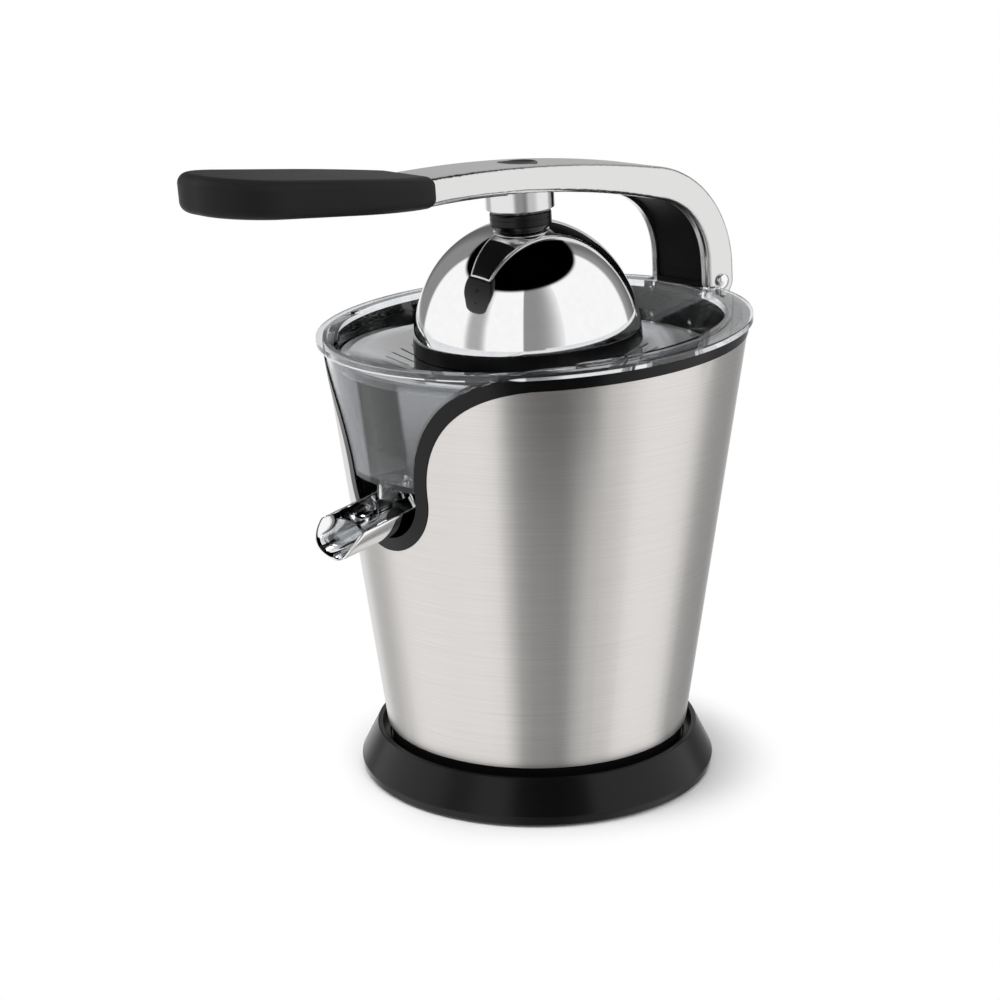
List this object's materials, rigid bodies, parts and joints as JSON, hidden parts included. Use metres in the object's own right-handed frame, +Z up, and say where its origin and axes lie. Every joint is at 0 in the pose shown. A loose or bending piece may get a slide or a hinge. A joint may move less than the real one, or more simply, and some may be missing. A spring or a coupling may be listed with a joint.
{
  "type": "citrus juicer",
  "caption": "Electric lever citrus juicer with a brushed steel body, clear juice collector, chrome pressing dome on a hinged arm, and a tilting drip-stop spout.",
  "frame": {"origin": "middle of the round base, on the surface that it stands on", "axes": "+Z up, -Y to the front, where the spout and the handle point, and +X to the right of someone who looks along +Y at the front"},
  "size_m": [0.2, 0.2859, 0.2949],
  "materials": {
    "brushed_shell": "brushed round the body",
    "black_gloss": "satin black moulding",
    "black_matte": "matte black moulding",
    "clear_plastic": "clear, slightly smoky",
    "polished_steel": "mirror polished",
    "sieve_steel": "bright pressed sheet",
    "cast_arm": "satin cast alloy",
    "soft_grip": "soft matte black",
    "rubber_black": "matte rubber",
    "machine_steel": "machined",
    "bearing_bronze": "sintered",
    "gear_nylon": "natural nylon",
    "iron_core": "laminated iron",
    "motor_steel": "zinc plated"
  },
  "bodies": {
    "base": {"foot_ring": "rubber_black", "base_ring": "black_gloss", "cord_inlet": "rubber_black", "bottom_cover": "black_matte", "cover_screws": "machine_steel", "outer_shell": "brushed_shell", "edge_trim": "black_gloss", "inner_housing": "black_matte", "drive_deck": "black_matte", "shaft_seal": "rubber_black", "juice_collector": "clear_plastic", "sieve": "sieve_steel", "return_spring": "machine_steel", "microswitch": "black_matte", "idler_pin": "machine_steel", "output_bush": "bearing_bronze", "gearbox_case": "black_matte", "gearbox_lid": "black_matte", "gearbox_screws": "machine_steel", "motor_can": "motor_steel", "motor_cap": "motor_steel", "motor_bushes": "bearing_bronze", "stator": "iron_core", "motor_screws": "machine_steel", "hinge_bracket": "black_matte", "bracket_screws": "machine_steel", "spout_pin": "machine_steel"},
    "arm": {"lever_arm": "cast_arm", "arm_liner": "black_matte", "arm_plug": "black_gloss", "grip": "soft_grip", "grip_screws": "black_matte", "hinge_pin": "polished_steel", "dome_stud": "machine_steel", "neck_collar": "machine_steel", "stud_nut": "machine_steel"},
    "dome": {"dome_shell": "polished_steel", "dome_liner": "black_gloss", "neck_bush": "black_gloss", "dome_nut": "machine_steel"},
    "spout": {"spout": "polished_steel", "spout_seal": "rubber_black"},
    "press": {"press_washer": "gear_nylon"},
    "switch_plunger": {"switch_button": "gear_nylon"},
    "reamer": {"drive_spindle": "machine_steel", "reamer_base": "black_gloss", "reamer_cone": "sieve_steel"},
    "rotor": {"rotor_core": "iron_core", "motor_shaft": "machine_steel", "motor_pinion": "machine_steel"},
    "idler": {"idler_gear": "gear_nylon"},
    "output": {"output_gear": "gear_nylon", "gear_clip": "machine_steel"}
  },
  "joints": [
    {"name": "arm_lift", "type": "hinge", "parent": "base", "child": "arm", "pos_m": [0, 0.10062, 0.22331], "axis": [-1, 0, 0], "range_deg": [0, 80]},
    {"name": "dome_tilt", "type": "hinge", "parent": "arm", "child": "dome", "pos_m": [0, -0.00717, 0.26004], "axis": [-1, 0, 0], "range_deg": [0, 4], "stiffness_Nm_per_rad": 0.3, "springref_deg": -1.72},
    {"name": "spout_tilt", "type": "hinge", "parent": "base", "child": "spout", "pos_m": [0, -0.06198, 0.146], "axis": [-1, 0, 0], "range_deg": [0, 15]},
    {"name": "spindle_press", "type": "slide", "parent": "base", "child": "press", "axis": [0, 0, -1], "range_m": [0, 0.0025], "stiffness_N_per_m": 2000, "springref_m": -0.006, "deforming": ["return_spring"]},
    {"name": "switch_press", "type": "slide", "parent": "base", "child": "switch_plunger", "axis": [0, 0, -1], "range_m": [0, 0.0025]},
    {"name": "reamer_spin", "type": "hinge", "parent": "press", "child": "reamer", "pos_m": [0, -0.0035, 0.1], "axis": [0, 0, 1], "continuous": true},
    {"name": "motor_spin", "type": "hinge", "parent": "base", "child": "rotor", "pos_m": [0, -0.0035, 0.1], "axis": [0, 0, 1], "continuous": true},
    {"name": "idler_spin", "type": "hinge", "parent": "base", "child": "idler", "pos_m": [0, 0.0315, 0.1], "axis": [0, 0, 1], "continuous": true},
    {"name": "output_spin", "type": "hinge", "parent": "base", "child": "output", "pos_m": [0, -0.0035, 0.1], "axis": [0, 0, 1], "continuous": true}
  ],
  "couplings": [
    {"joint": "idler_spin", "follows": "motor_spin", "ratio": -0.2069},
    {"joint": "output_spin", "follows": "motor_spin", "ratio": 0.051724},
    {"joint": "reamer_spin", "follows": "motor_spin", "ratio": 0.051724},
    {"joint": "switch_press", "follows": "spindle_press", "ratio": 1}
  ]
}
